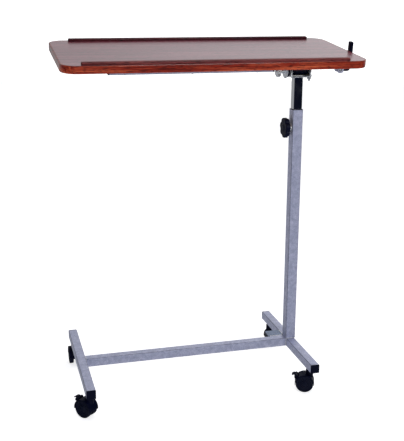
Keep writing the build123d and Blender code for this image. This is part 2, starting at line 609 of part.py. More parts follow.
stiffener_length = STIFFENER_RIGHT - STIFFENER_LEFT - 2 * STIFFENER_CAP

for side, name in ((-1, "front_stiffener"), (1, "rear_stiffener")):
    with BuildPart() as stiffener:
        tube_end = top_section(STIFFENER_LEFT + STIFFENER_CAP)
        with BuildSketch(tube_end):
            with Locations((side * STIFFENER_Y, STIFFENER_LIFT + STIFFENER / 2)):
                RectangleRounded(STIFFENER, STIFFENER, STIFFENER_CORNER)
                hollow = STIFFENER - 2 * TUBE_WALL
                RectangleRounded(hollow, hollow, BORE_CORNER, mode=Mode.SUBTRACT)
        extrude(amount=stiffener_length)
        own_screws = [place for place in STIFFENER_SCREWS if place[1] * side > 0]
        extrude(top_holes(STIFFENER_LIFT, own_screws, SCREW_R + LOOSE), amount=STIFFENER, mode=Mode.SUBTRACT)
    save(stiffener, name)

with BuildPart() as stiffener_end_caps:
    for end_x, inwards in ((STIFFENER_LEFT, 1), (STIFFENER_RIGHT, -1)):
        for side in (-1, 1):
            for x, size, depth in (
                (end_x, STIFFENER, STIFFENER_CAP),
                (end_x + inwards * STIFFENER_CAP, STIFFENER - 2 * TUBE_WALL - 2 * LOOSE, STIFFENER_SPIGOT),
            ):
                with BuildSketch(top_section(x)):
                    with Locations((side * STIFFENER_Y, STIFFENER_LIFT + STIFFENER / 2)):
                        RectangleRounded(size, size, BORE_CORNER)
                extrude(amount=inwards * depth)
save(stiffener_end_caps, "stiffener_end_caps")

# ---- Tilt brake: pull rod, its guide, the lever and the lever's bracket ----------------------------------

PAD_R, PAD_LENGTH, ROD_IN_PAD = 7.5, 6.0, 4.0
PAD_X = COLUMN_X + EAR_OUTER + APART
FORK_LENGTH, FORK_GAP, FORK_HALF, FORK_RISE, FORK_ROOT, CROSS_PIN_R = 15.0, 7.2, 7.0, 4.5, 2.5, 2.0
FORK_START = LEVER_X - 9.0
LEVER_THICKNESS, LEVER_PIN_R, SLOT_LENGTH, SLOT_WIDTH = 6.0, 2.5, 9.0, 4.6
PIN_HEAD, PIN_HEAD_R, LEVER_HALF, LEVER_EYE, ELBOW_ROUND, HEEL_ROUND = 2.0, 4.0, 5.0, 6.0, 8.0, 4.5
LEVER_LOW, LEVER_RIGHT_IN, LEVER_RIGHT_OUT = -3.0, COLUMN_X + 143.0, COLUMN_X + 149.0
GRIP_LOW, GRIP_TOP, GRIP_LENGTH_X, GRIP_LENGTH_Y = 12.0, 78.0, 10.0, 18.0
GRIP_CORNER, GRIP_TOP_ROUND, GRIP_COVER = 4.2, 3.5, 6.0

with BuildPart() as rod_guide:
    with BuildSketch(top_plane(PIVOT_TO_UNDERSIDE)):
        with Locations((GUIDE_X, ROD_Y)):
            RectangleRounded(GUIDE_LENGTH, GUIDE_DEPTH, GUIDE_CORNER)
    extrude(amount=-BRACKET_WALL)
    with BuildSketch(top_section(GUIDE_X - GUIDE_LENGTH / 2)):
        with Locations((ROD_Y, ROD_LIFT)):
            Circle(GUIDE_EYE_R)
        flange_low = PIVOT_TO_UNDERSIDE - BRACKET_WALL
        with Locations((ROD_Y, flange_low)):
            Rectangle(GUIDE_WEB, flange_low - ROD_LIFT, align=(Align.CENTER, Align.MAX))
    extrude(amount=GUIDE_LENGTH)
    with BuildSketch(top_section(GUIDE_X - GUIDE_LENGTH / 2)):
        with Locations((ROD_Y, ROD_LIFT)):
            Circle(ROD_R + RUNNING)
    extrude(amount=GUIDE_LENGTH, mode=Mode.SUBTRACT)
    guide_holes = top_holes(flange_low, GUIDE_SCREWS, SCREW_R + LOOSE)
    extrude(guide_holes, amount=BRACKET_WALL, mode=Mode.SUBTRACT)
save(rod_guide, "rod_guide")

with BuildPart() as lever_bracket:
    bracket_length = BRACKET_RIGHT - BRACKET_LEFT
    with BuildSketch(top_section(BRACKET_LEFT)):
        with Locations((ROD_Y, PIVOT_TO_UNDERSIDE)):
            Rectangle(BRACKET_FLANGE, BRACKET_WALL, align=(Align.CENTER, Align.MAX))
        rise = PIVOT_TO_UNDERSIDE - BRACKET_LOW
        for side in (-1, 1):
            with Locations((ROD_Y + side * (BRACKET_DEPTH - BRACKET_WALL) / 2, BRACKET_LOW)):
                Rectangle(BRACKET_WALL, rise, align=(Align.CENTER, Align.MIN))
    extrude(amount=bracket_length)
    low_edges = lever_bracket.edges().filter_by(Axis((0, 0, 0), (0, cos(TILT), sin(TILT))))
    fillet(low_edges.group_by(normal_axis)[0], BRACKET_ROUND)
    with BuildSketch(top_profile(ROD_Y - BRACKET_DEPTH)):
        with Locations((LEVER_X, LEVER_LIFT)):
            Circle(LEVER_PIN_R + LOOSE)
    extrude(amount=-2 * BRACKET_DEPTH, mode=Mode.SUBTRACT)
    bracket_holes = top_holes(PIVOT_TO_UNDERSIDE - BRACKET_WALL, BRACKET_SCREWS, SCREW_R + LOOSE)
    extrude(bracket_holes, amount=BRACKET_WALL, mode=Mode.SUBTRACT)
save(lever_bracket, "lever_bracket")

with BuildPart() as lever_pin:
    pin_face = top_profile(ROD_Y - BRACKET_DEPTH / 2 - PIN_HEAD)
    other_face = pin_face.offset(-BRACKET_DEPTH - PIN_HEAD)
    extrude(disc(pin_face, (LEVER_X, LEVER_LIFT), LEVER_PIN_R), amount=-BRACKET_DEPTH - 2 * PIN_HEAD)
    extrude(disc(pin_face, (LEVER_X, LEVER_LIFT), PIN_HEAD_R), amount=-PIN_HEAD)
    extrude(disc(other_face, (LEVER_X, LEVER_LIFT), PIN_HEAD_R), amount=-PIN_HEAD)
save(lever_pin, "lever_pin")

with BuildPart() as release_lever:
    with BuildSketch(top_profile(ROD_Y - LEVER_THICKNESS / 2)) as profile:
        with BuildLine():
            arm_top, eye_top, tang_top = LEVER_LIFT + LEVER_HALF, ROD_LIFT + LEVER_EYE, GRIP_TOP - GRIP_COVER
            Polyline(
                (LEVER_X - LEVER_HALF, LEVER_LOW),
                (LEVER_RIGHT_OUT, LEVER_LOW),
                (LEVER_RIGHT_OUT, tang_top),
                (LEVER_RIGHT_IN, tang_top),
                (LEVER_RIGHT_IN, arm_top),
                (LEVER_X + LEVER_HALF, arm_top),
                (LEVER_X + LEVER_HALF, eye_top),
                (LEVER_X - LEVER_HALF, eye_top),
                close=True,
            )
        make_face()
        bottom_corners = profile.vertices().group_by(Axis.Y)[0]
        fillet(bottom_corners.sort_by(Axis.X)[-1], ELBOW_ROUND)
        fillet(bottom_corners.sort_by(Axis.X)[0], HEEL_ROUND)
        with Locations((LEVER_X, LEVER_LIFT)):
            Circle(LEVER_PIN_R + RUNNING, mode=Mode.SUBTRACT)
        with Locations((LEVER_X, ROD_LIFT)):
            SlotOverall(SLOT_LENGTH, SLOT_WIDTH, rotation=90, mode=Mode.SUBTRACT)
    extrude(amount=-LEVER_THICKNESS)
save(release_lever, "release_lever")

with BuildPart() as lever_grip:
    grip_x = (LEVER_RIGHT_IN + LEVER_RIGHT_OUT) / 2
    with BuildSketch(top_plane(GRIP_LOW)):
        with Locations((grip_x, ROD_Y)):
            RectangleRounded(GRIP_LENGTH_X, GRIP_LENGTH_Y, GRIP_CORNER)
    extrude(amount=GRIP_TOP - GRIP_LOW)
    fillet(lever_grip.faces().sort_by(normal_axis)[-1].edges(), GRIP_TOP_ROUND)
    with BuildSketch(top_plane(GRIP_LOW)):
        with Locations((grip_x, ROD_Y)):
            Rectangle(LEVER_RIGHT_OUT - LEVER_RIGHT_IN + 2 * LOOSE, LEVER_THICKNESS + 2 * LOOSE)
    extrude(amount=GRIP_TOP - GRIP_COVER - GRIP_LOW + LOOSE, mode=Mode.SUBTRACT)
save(lever_grip, "lever_grip")

with BuildPart() as release_rod:
    rod_start = PAD_X + PAD_LENGTH - ROD_IN_PAD
    with BuildSketch(top_section(rod_start)):
        with Locations((ROD_Y, ROD_LIFT)):
            Circle(ROD_R)
    extrude(amount=FORK_START - rod_start)
    with BuildSketch(top_section(FORK_START)):
        with Locations((ROD_Y, ROD_LIFT)):
            Rectangle(2 * FORK_HALF, 2 * FORK_RISE)
    extrude(amount=FORK_LENGTH)
    with BuildSketch(top_section(FORK_START + FORK_ROOT)):
        with Locations((ROD_Y, ROD_LIFT)):
            Rectangle(FORK_GAP, 2 * FORK_RISE)
    extrude(amount=FORK_LENGTH, mode=Mode.SUBTRACT)
    with BuildSketch(top_profile(ROD_Y - FORK_HALF)):
        with Locations((LEVER_X, ROD_LIFT)):
            Circle(CROSS_PIN_R)
    extrude(amount=-2 * FORK_HALF)
save(release_rod, "release_rod")

with BuildPart() as brake_pad:
    with BuildSketch(top_section(PAD_X)):
        with Locations((ROD_Y, ROD_LIFT)):
            Circle(PAD_R)
    extrude(amount=PAD_LENGTH)
    with BuildSketch(top_section(rod_start)):
        with Locations((ROD_Y, ROD_LIFT)):
            Circle(ROD_R + LOOSE)
    extrude(amount=PAD_LENGTH, mode=Mode.SUBTRACT)
save(brake_pad, "brake_pad")

# ---- Casters ---------------------------------------------------------------------------------------------

WEB_HALF, WHEEL_GAP, HOOD_LIP, SKIRT_DROP = 3.4, 0.7, 0.5, 3.0
HOOD_HALF = WHEEL_INNER + WHEEL_WIDTH + HOOD_LIP
SWIVEL_BOSS_R, SWIVEL_BOSS_LOW, SWIVEL_BOSS_BEVEL, AXLE_EYE_R = 10.5, 35.0, 1.2, 7.0
TREAD_ROUND, RIM_WALL, FACE_DISH, FACE_HUB_R = 1.8, 4.5, 1.5, 9.0
BACK_HUB_R, BACK_DEPTH, BORE_FLOOR, AXLE_SHORT = 8.0, 9.0, 2.0, 3.0
AXLE_HALF = WHEEL_INNER + WHEEL_WIDTH - AXLE_SHORT
PEDAL_PIN_R, PEDAL_HUB_R, PEDAL_ANGLE, PEDAL_PIVOT_R = 1.8, 3.4, 42.0, HOOD_R + 3.7
PEDAL_HALF, WINDOW_HALF, LUG_R, LUG_WIDTH = 7.0, 8.0, 4.2, 4.0
WINDOW_LOW, WINDOW_HIGH, WINDOW_FLOOR_R = 16.0, 51.0, 24.3
AXLE_POINT = (CASTER_TRAIL, WHEEL_R)

# Each caster's place, its swivel about +Z from wheels trailing straight back, and whether it has a brake.
CASTERS = {
    "caster_front_left": (LEFT_FOOT_X, -STEM_Y, 42.0, True),
    "caster_front_right": (COLUMN_X, -STEM_Y, 68.0, True),
    "caster_rear_left": (LEFT_FOOT_X, STEM_Y, 0.0, False),
    "caster_rear_right": (COLUMN_X, STEM_Y, -96.0, False),
}


def along_axle(x, y, swivel, offset):
    """Plane across a caster's axle: sketch X trails from the stem, sketch Y is height, normal the axle."""
    turn = radians(swivel)
    axle = (cos(turn), sin(turn), 0)
    trail = (-sin(turn), cos(turn), 0)
    return Plane(origin=(x, y, 0), x_dir=trail, z_dir=axle).offset(offset)


def ring(plane, centre, outer, inner):
    """Flat ring on a plane."""
    with BuildSketch(plane) as section:
        with Locations(centre):
            Circle(outer)
            Circle(inner, mode=Mode.SUBTRACT)
    return section.sketch


def around_axle(radius, degrees):
    """Point in an along_axle plane at a radius and angle round the axle; 0 trails level, 90 is upright."""
    angle = radians(degrees)
    return (CASTER_TRAIL + radius * cos(angle), WHEEL_R + radius * sin(angle))


PEDAL_POINT = around_axle(PEDAL_PIVOT_R, PEDAL_ANGLE)


def brake_window(plane):
    """Sector of the hood's shell that the pedal's toe reaches through."""
    far = 2 * HOOD_R
    with BuildSketch(plane) as window:
        with Locations(AXLE_POINT):
            Circle(HOOD_R + 1)
            Circle(WINDOW_FLOOR_R, mode=Mode.SUBTRACT)
        with BuildLine():
            Polyline(AXLE_POINT, around_axle(far, WINDOW_LOW), around_axle(far, WINDOW_HIGH), close=True)
        make_face(mode=Mode.INTERSECT)
    return window.sketch


def pedal_profile(plane):
    """Pedal seen along its pin: hub, a toe that turns in to the treads, and a foot plate that hooks out."""
    px, pz = PEDAL_POINT
    tilt = radians(PEDAL_ANGLE)
    down = (sin(tilt), -cos(tilt))
    out = (cos(tilt), sin(tilt))
    toe = [(0, 2.6), (8.5, 0.8), (10, -3.8), (8, -5.2), (5.5, -5.0), (4, -3.0), (0, -3.0)]
    plate = [(-2.8, 1.5), (1.5, 5), (6, 5.8), (10, 4.6), (13, 2.2), (11.8, 0.6), (7.5, 2.6), (3, 0.8)]
    with BuildSketch(plane) as profile:
        with Locations(PEDAL_POINT):
            Circle(PEDAL_HUB_R)
        with BuildLine():
            Polyline(
                [(px + u * down[0] + v * out[0], pz + u * down[1] + v * out[1]) for u, v in toe], close=True
            )
        make_face()
        with BuildLine():
            Polyline([(px + trail, pz + rise) for trail, rise in plate], close=True)
        make_face()
    return profile.sketch


for name, (x, y, swivel, braked) in CASTERS.items():

    def across(offset):
        """This caster's plane across its axle."""
        return along_axle(x, y, swivel, offset)

    with BuildPart() as hood:
        with BuildSketch(across(-HOOD_HALF)):
            with Locations(AXLE_POINT):
                Circle(HOOD_R)
            with Locations((CASTER_TRAIL, WHEEL_R - SKIRT_DROP)):
                Rectangle(3 * HOOD_R, 2 * HOOD_R, align=(Align.CENTER, Align.MAX), mode=Mode.SUBTRACT)
        extrude(amount=2 * HOOD_HALF)
        boss_start = Plane.XY.offset(SWIVEL_BOSS_LOW)
        extrude(disc(boss_start, (x, y), SWIVEL_BOSS_R), amount=HOOD_TOP - SWIVEL_BOSS_LOW)
        chamfer(hood.faces().sort_by(Axis.Z)[-1].edges(), SWIVEL_BOSS_BEVEL)
        for side in (-1, 1):
            cavity = disc(across(side * WEB_HALF), AXLE_POINT, WHEEL_R + WHEEL_GAP)
            extrude(cavity, amount=side * 2 * HOOD_HALF, mode=Mode.SUBTRACT)
        extrude(disc(across(-WEB_HALF), AXLE_POINT, AXLE_EYE_R), amount=2 * WEB_HALF)
        extrude(disc(across(-WEB_HALF), AXLE_POINT, AXLE_R + LOOSE), amount=2 * WEB_HALF, mode=Mode.SUBTRACT)
        stem_bore = disc(Plane.XY.offset(STEM_BOTTOM - APART), (x, y), STEM_PIVOT_R + RUNNING)
        extrude(stem_bore, amount=HOOD_TOP - STEM_BOTTOM + APART, mode=Mode.SUBTRACT)
        if braked:
            extrude(brake_window(across(-WINDOW_HALF)), amount=2 * WINDOW_HALF, mode=Mode.SUBTRACT)
            for side in (-1, 1):
                start = across(side * WINDOW_HALF)
                extrude(disc(start, PEDAL_POINT, LUG_R), amount=side * LUG_WIDTH)
                pin_hole = disc(start, PEDAL_POINT, PEDAL_PIN_R + RUNNING)
                extrude(pin_hole, amount=side * LUG_WIDTH, mode=Mode.SUBTRACT)
    save(hood, f"{name}_hood")

    if braked:
        with BuildPart() as pedal:
            extrude(pedal_profile(across(-PEDAL_HALF)), amount=2 * PEDAL_HALF)
            pin_half = WINDOW_HALF + LUG_WIDTH
            extrude(disc(across(-pin_half), PEDAL_POINT, PEDAL_PIN_R), amount=2 * pin_half)
        save(pedal, f"{name}_pedal")

    with BuildPart() as axle:
        extrude(disc(across(-AXLE_HALF), AXLE_POINT, AXLE_R), amount=2 * AXLE_HALF)
    save(axle, f"{name}_axle")

    for side, label in ((-1, "wheel_left"), (1, "wheel_right")):
        with BuildPart() as wheel:
            inner_face, outer_face = across(side * WHEEL_INNER), across(side * (WHEEL_INNER + WHEEL_WIDTH))
            extrude(disc(inner_face, AXLE_POINT, WHEEL_R), amount=side * WHEEL_WIDTH)
            fillet(wheel.edges().filter_by(GeomType.CIRCLE), TREAD_ROUND)
            dish = ring(outer_face, AXLE_POINT, WHEEL_R - RIM_WALL, FACE_HUB_R)
            extrude(dish, amount=-side * FACE_DISH, mode=Mode.SUBTRACT)
            hollow = ring(inner_face, AXLE_POINT, WHEEL_R - RIM_WALL, BACK_HUB_R)
            extrude(hollow, amount=side * BACK_DEPTH, mode=Mode.SUBTRACT)
            bore = disc(inner_face, AXLE_POINT, AXLE_R + RUNNING)
            extrude(bore, amount=side * (WHEEL_WIDTH - BORE_FLOOR), mode=Mode.SUBTRACT)
        save(wheel, f"{name}_{label}")
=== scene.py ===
"""Looks for the overbed table: materials, small made pieces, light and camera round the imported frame."""

import json
import math

import bmesh
import bpy
from mathutils import Matrix, Vector


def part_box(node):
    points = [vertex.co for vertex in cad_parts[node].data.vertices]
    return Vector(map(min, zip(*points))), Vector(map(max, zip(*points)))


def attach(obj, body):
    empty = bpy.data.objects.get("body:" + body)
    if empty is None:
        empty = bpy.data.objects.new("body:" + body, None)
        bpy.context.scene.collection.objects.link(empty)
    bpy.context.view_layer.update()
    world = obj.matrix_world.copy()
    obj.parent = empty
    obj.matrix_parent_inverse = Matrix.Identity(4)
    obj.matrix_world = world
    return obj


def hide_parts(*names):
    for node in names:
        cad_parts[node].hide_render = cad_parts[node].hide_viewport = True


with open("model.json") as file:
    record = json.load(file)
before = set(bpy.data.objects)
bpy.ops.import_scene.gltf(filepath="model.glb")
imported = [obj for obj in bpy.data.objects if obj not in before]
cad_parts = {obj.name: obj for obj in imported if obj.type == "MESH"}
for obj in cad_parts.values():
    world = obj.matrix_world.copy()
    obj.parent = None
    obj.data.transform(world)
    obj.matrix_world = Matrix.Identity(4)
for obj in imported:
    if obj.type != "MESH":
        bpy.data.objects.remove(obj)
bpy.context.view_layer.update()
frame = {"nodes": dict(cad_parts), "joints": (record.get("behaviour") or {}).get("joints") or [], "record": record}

MM = 0.001
NODES = frame["nodes"]
JOINTS = {joint["name"]: joint for joint in frame["joints"]}
TOP_NORMAL = Vector(frame["record"]["mounts"][0]["axis"]).normalized()
UP, DOWN, LEFT = Vector((0, 0, 1)), Vector((0, 0, -1)), Vector((-1, 0, 0))
BRAKED_CASTERS = ("caster_front_left", "caster_front_right")
PLAIN_CASTERS = ("caster_rear_left", "caster_rear_right")

# ---- Materials -------------------------------------------------------------------------------------------

# Sockets of a Mix node: its share, and two inputs and an output of each kind.
MIX_SHARE = 0
MIX_VECTORS, MIX_VECTOR_OUT = (4, 5), 1
MIX_COLOURS, MIX_COLOUR_OUT = (6, 7), 2

PAINT_DARK, PAINT_MID, PAINT_LIGHT = (0.22, 0.25, 0.42), (0.37, 0.40, 0.60), (0.60, 0.62, 0.82)
# Painted shade: the dark colour laid on the frame tubes' rounded corners, where they turn away from the light.
PAINT_CORNER_SHADE = (0.045, 0.050, 0.085)
CHROME_DULL, CHROME_BRIGHT = (0.74, 0.75, 0.80), (0.86, 0.87, 0.90)
PLASTIC_DARK, PLASTIC_MID = (0.001, 0.002, 0.012), (0.0015, 0.0025, 0.016)
PLASTIC_RUBBED = (0.006, 0.008, 0.026)
TREAD_DARK, TREAD_SCUFFED, TREAD_DUST = (0.001, 0.0025, 0.011), (0.006, 0.008, 0.024), (0.020, 0.021, 0.032)
CHIP_DARK, CHIP_MID, CHIP_LIGHT = (0.23, 0.13, 0.065), (0.42, 0.27, 0.15), (0.60, 0.44, 0.28)
FIBRE_DARK, FIBRE_LIGHT = (0.18, 0.10, 0.05), (0.62, 0.47, 0.31)

# A normal's share along one axis past which an edge strip's face counts as facing that way.
SIDEWAYS = 0.707


class Finish:
    """One procedural material, built node by node round a Principled BSDF."""

    def __init__(self, name, **fixed):
        self.material = bpy.data.materials.new(name)
        self.material.use_nodes = True
        self.tree = self.material.node_tree
        self.surface = self.tree.nodes["Principled BSDF"]
        for socket, value in fixed.items():
            self.surface.inputs[socket.replace("_", " ")].default_value = value
        self.coordinates = self.tree.nodes.new("ShaderNodeTexCoord")
        self.place = self.coordinates.outputs["Object"]
        self.relief = None

    def node(self, kind, **inputs):
        """A new node; each input is named, or numbered as in _0, and is a value or another node's output."""
        made = self.tree.nodes.new(kind)
        for socket, value in inputs.items():
            target = made.inputs[int(socket[1:]) if socket[1:].isdigit() else socket.replace("_", " ")]
            if isinstance(value, bpy.types.NodeSocket):
                self.tree.links.new(value, target)
            else:
                target.default_value = value
        return made

    def stretched(self, x, y, z, place=None):
        """The object's coordinates in metres, times a factor along each axis."""
        node = self.node("ShaderNodeVectorMath", _0=place or self.place, _1=(x, y, z))
        node.operation = "MULTIPLY"
        return node.outputs[0]

    def noise(self, place, scale=1.0, detail=4.0, roughness=0.55, distortion=0.0):
        """Smooth noise from 0 to 1."""
        return self.node(
            "ShaderNodeTexNoise",
            Vector=place, Scale=scale, Detail=detail, Roughness=roughness, Distortion=distortion,
        ).outputs["Fac"]

    def patches(self, place, scale, channel=0):
        """A cell pattern, each cell with a grey of its own from 0 to 1."""
        cells = self.node("ShaderNodeTexVoronoi", Vector=place, Scale=scale)
        return self.node("ShaderNodeSeparateColor", Color=cells.outputs["Color"]).outputs[channel]

    def pits(self, place, scale):
        """A cell pattern that is 0 in the middle of each cell and rises to its rim."""
        return self.node("ShaderNodeTexVoronoi", Vector=place, Scale=scale).outputs["Distance"]

    def ramp(self, value, *stops):
        """Colours (or greys) at positions from 0 to 1."""
        node = self.node("ShaderNodeValToRGB", Fac=value)
        elements = node.color_ramp.elements
        while len(elements) < len(stops):
            elements.new(1.0)
        for element, (position, colour) in zip(elements, stops):
            element.position = position
            if isinstance(colour, (int, float)):
                colour = (colour, colour, colour)
            element.color = (*colour, 1.0)
        return node.outputs["Color"]

    def scaled(self, value, low, high, start=0.3, end=0.7):
        """A value from start to end, taken to low to high."""
        return self.node("ShaderNodeMapRange", _0=value, _1=start, _2=end, _3=low, _4=high).outputs[0]

    def mix(self, share, first, second):
        """Blend of two colours."""
        node = self.node("ShaderNodeMix")
        node.data_type = "RGBA"
        if isinstance(share, bpy.types.NodeSocket):
            self.tree.links.new(share, node.inputs[MIX_SHARE])
        else:
            node.inputs[MIX_SHARE].default_value = share
        for index, colour in zip(MIX_COLOURS, (first, second)):
            if isinstance(colour, bpy.types.NodeSocket):
                self.tree.links.new(colour, node.inputs[index])
            else:
                node.inputs[index].default_value = (*colour, 1.0)
        return node.outputs[MIX_COLOUR_OUT]

    def maths(self, operation, first, second=0.0):
        """Arithmetic on one or two values."""
        node = self.node("ShaderNodeMath", _0=first, _1=second)
        node.operation = operation
        return node.outputs[0]

    def facing(self):
        """The three parts of the surface's direction in the row frame."""
        return self.node("ShaderNodeSeparateXYZ", Vector=self.coordinates.outputs["Normal"]).outputs

    def painted_arris_shade(self):
        """Mask of painted shade on the rounded corners of square tube, from 0 on its flats to 0.75 on the corner.
        """
        x, y, z = [self.maths("ABSOLUTE", part) for part in self.facing()]
        squareness = self.maths("MAXIMUM", self.maths("MAXIMUM", x, y), z)
        return self.scaled(squareness, low=0.75, high=0.0, start=0.78, end=0.97)

    def bump(self, height, strength, distance):
        """Adds surface relief, in metres, on top of what is there."""
        node = self.node("ShaderNodeBump", Height=height, Strength=strength, Distance=distance)
        if self.relief is not None:
            self.tree.links.new(self.relief, node.inputs["Normal"])
        self.relief = node.outputs["Normal"]

    def done(self, colour, roughness=None):
        """Links the finished colour, roughness and relief to the surface."""
        for socket, value in (("Base Color", colour), ("Roughness", roughness), ("Normal", self.relief)):
            if value is not None:
                self.tree.links.new(value, self.surface.inputs[socket])
        return self.material


def shade(colour, factor):
    """A colour made darker or lighter, up to white."""
    return tuple(min(1.0, factor * channel) for channel in colour)


def silver_paint():
    """Silver-lavender hammered paint on the frame: mottled, with fine flakes, slight orange peel and painted shade
    on the tubes' rounded corners.
    """
    f = Finish("silver_paint", Metallic=0.35, Coat_Weight=0.25, Coat_Roughness=0.25)
    mottle = f.noise(f.place, scale=75.0, detail=8.0, roughness=0.78, distortion=0.6)
    body = f.ramp(mottle, (0.30, PAINT_DARK), (0.5, PAINT_MID), (0.70, PAINT_LIGHT))
    flakes = f.ramp(f.patches(f.place, scale=1400.0), (0.0, 0.12), (0.7, 0.45), (1.0, 0.95))
    colour = f.mix(0.22, body, flakes)
    # Painted shade: darkens the tubes' rounded corners, where they turn away from the light.
    colour = f.mix(f.painted_arris_shade(), colour, PAINT_CORNER_SHADE)
    f.bump(f.noise(f.place, scale=420.0, detail=3.0, roughness=0.5), strength=0.25, distance=0.0004)
    f.bump(mottle, strength=0.15, distance=0.0015)
    return f.done(colour, f.scaled(mottle, low=0.5, high=0.34))


def zinc(name, tint, spangle, roughness, metallic=1.0):
    """Zinc-plated steel: crystalline patches and fine marks."""
    f = Finish(name, Metallic=metallic)
    crystals = f.patches(f.place, scale=spangle)
    clouds = f.noise(f.place, scale=spangle * 0.5, detail=5.0, roughness=0.6, distortion=0.8)
    patch = f.ramp(crystals, (0.0, shade(tint, 0.45)), (1.0, tint))
    colour = f.mix(f.scaled(clouds, low=0.0, high=0.6), patch, shade(tint, 1.15))
    f.bump(f.noise(f.stretched(1, 1, 6), scale=900.0, detail=3.0), strength=0.2, distance=0.0002)
    return f.done(colour, f.scaled(crystals, low=roughness * 0.7, high=roughness * 1.35, start=0.0, end=1.0))


def chrome():
    """Polished chrome with faint drawing lines and handling haze."""
    f = Finish("chrome", Metallic=1.0)
    haze = f.noise(f.place, scale=30.0, detail=5.0, roughness=0.6, distortion=0.4)
    colour = f.ramp(haze, (0.3, CHROME_DULL), (0.7, CHROME_BRIGHT))
    f.bump(f.noise(f.stretched(900, 900, 12), detail=2.0), strength=0.05, distance=0.0001)
    return f.done(colour, f.scaled(haze, low=0.05, high=0.16))


def black_plastic(name, smooth, rubbed, grain):
    """Black moulding or paint: a fine leathery grain, smoother or rougher where it is rubbed."""
    f = Finish(name, IOR=1.25, Specular_IOR_Level=0.25)
    wear = f.noise(f.place, scale=70.0, detail=6.0, roughness=0.65, distortion=0.5)
    colour = f.ramp(wear, (0.35, PLASTIC_DARK), (0.62, PLASTIC_MID), (0.8, PLASTIC_RUBBED))
    f.bump(f.pits(f.place, scale=1500.0), strength=grain, distance=0.0002)
    f.bump(wear, strength=0.12, distance=0.0006)
    return f.done(colour, f.scaled(wear, low=smooth, high=rubbed))


def wheel_plastic():
    """Hard black tread: scuffed and dusty where it rolls."""
    f = Finish("wheel_plastic", IOR=1.25, Specular_IOR_Level=0.25)
    scuffs = f.noise(f.place, scale=160.0, detail=8.0, roughness=0.7, distortion=1.2)
    dust = f.noise(f.place, scale=38.0, detail=4.0, roughness=0.6)
    black = f.ramp(scuffs, (0.3, TREAD_DARK), (0.7, TREAD_SCUFFED))
    colour = f.mix(f.scaled(dust, low=0.0, high=0.35, start=0.45, end=0.75), black, TREAD_DUST)
    f.bump(scuffs, strength=0.3, distance=0.0004)
    return f.done(colour, f.scaled(scuffs, low=0.28, high=0.55))


def along_strip(f):
    """Coordinates whose X runs along an edge strip: the row's X on the long sides, its Y round the ends."""
    x, y, z = f.node("ShaderNodeSeparateXYZ", Vector=f.place).outputs
    sideways = f.maths("GREATER_THAN", f.maths("ABSOLUTE", f.facing()[0]), SIDEWAYS)
    swapped = f.node("ShaderNodeCombineXYZ", X=y, Y=x, Z=z).outputs[0]
    node = f.node("ShaderNodeMix")
    node.data_type = "VECTOR"
    f.tree.links.new(sideways, node.inputs[MIX_SHARE])
    for index, place in zip(MIX_VECTORS, (f.place, swapped)):
        f.tree.links.new(place, node.inputs[index])
    return node.outputs[MIX_VECTOR_OUT]


def wood(name, dark, mid, light, coat, gloss, roughness, pore_depth, strip=False):
    """Fine straight-grained red-brown wood: broad figure, thin streaks, short dark pores along the grain."""
    f = Finish(name, Coat_Weight=coat, Coat_Roughness=gloss, Coat_IOR=1.5, Specular_IOR_Level=0.1)
    place = along_strip(f) if strip else f.place
    figure = f.noise(f.stretched(1.6, 26, 26, place), detail=4.0, roughness=0.5, distortion=1.1)
    streaks = f.noise(f.stretched(7, 330, 330, place), detail=7.0, roughness=0.62, distortion=0.25)
    pores = f.noise(f.stretched(45, 1500, 1500, place), detail=2.0, roughness=0.5)
    flecks = f.noise(f.stretched(60, 430, 430, place), detail=2.0, roughness=0.5)
    pore_mask = f.ramp(pores, (0.60, 0.0), (0.70, 1.0))
    fleck_mask = f.ramp(flecks, (0.54, 0.0), (0.64, 1.0))
    grain = f.maths("ADD", f.maths("MULTIPLY", figure, 0.5), f.maths("MULTIPLY", streaks, 0.5))
    colour = f.ramp(grain, (0.36, dark), (0.5, mid), (0.64, light))
    colour = f.mix(f.maths("MULTIPLY", fleck_mask, 0.7), colour, shade(dark, 0.4))
    colour = f.mix(f.maths("MULTIPLY", pore_mask, 0.55), colour, shade(dark, 0.35))
    f.bump(pore_mask, strength=-pore_depth, distance=0.0003)
    f.bump(streaks, strength=pore_depth * 0.5, distance=0.0003)
    return f.done(colour, f.scaled(streaks, low=roughness * 0.85, high=roughness * 1.2))


def chipboard():
    """Bare pressed chips, on the underside and in the screw holes."""
    f = Finish("chipboard")
    chips = f.patches(f.stretched(90, 190, 240), scale=1.0, channel=1)
    fibres = f.noise(f.stretched(300, 700, 700), detail=4.0)
    colour = f.mix(
        0.35,
        f.ramp(chips, (0.0, CHIP_DARK), (0.55, CHIP_MID), (1.0, CHIP_LIGHT)),
        f.ramp(fibres, (0.3, FIBRE_DARK), (0.7, FIBRE_LIGHT)),
    )
    f.bump(chips, strength=0.35, distance=0.0006)
    f.bump(fibres, strength=0.3, distance=0.0003)
    return f.done(colour, f.scaled(fibres, low=0.75, high=0.95))


def rubber():
    """Dull black rubber."""
    f = Finish("rubber")
    grit = f.noise(f.place, scale=700.0, detail=5.0, roughness=0.7)
    f.bump(grit, strength=0.4, distance=0.0003)
    return f.done(f.ramp(grit, (0.3, 0.012), (0.8, 0.045)), f.scaled(grit, low=0.7, high=0.9))


